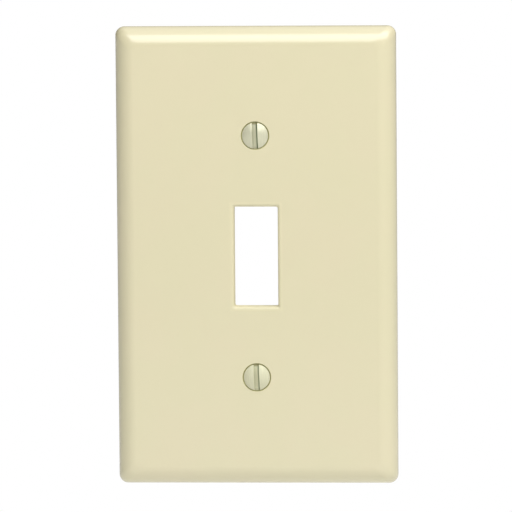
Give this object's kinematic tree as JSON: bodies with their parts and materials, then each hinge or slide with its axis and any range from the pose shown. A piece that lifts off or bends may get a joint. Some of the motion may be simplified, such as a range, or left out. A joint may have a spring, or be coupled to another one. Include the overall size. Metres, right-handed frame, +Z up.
{
  "type": "toggle switch wall plate",
  "caption": "Ivory moulded wall plate for a toggle light switch, with rounded shoulders, a rectangular toggle opening and slotted oval-head screws that back out of the front.",
  "frame": {"origin": "on the wall plane, midway between the two screws, which is the centre of the plate's back", "axes": "+Z up the plate as it hangs, +Y from the room into the wall, +X to the right as seen from the room"},
  "size_m": [0.0698, 0.0169, 0.1142],
  "materials": {
    "ivory_plastic": "glossy moulded thermoset, ivory",
    "painted_screw": "thin ivory enamel on steel"
  },
  "bodies": {
    "plate": {"wall_plate": "ivory_plastic"},
    "upper_screw": {"upper_screw": "painted_screw"},
    "lower_screw": {"lower_screw": "painted_screw"}
  },
  "joints": [
    {"name": "upper_screw_withdrawal", "type": "slide", "parent": "plate", "child": "upper_screw", "axis": [0, -1, 0], "range_m": [0, 0.016]},
    {"name": "lower_screw_withdrawal", "type": "slide", "parent": "plate", "child": "lower_screw", "axis": [0, -1, 0], "range_m": [0, 0.016]}
  ]
}
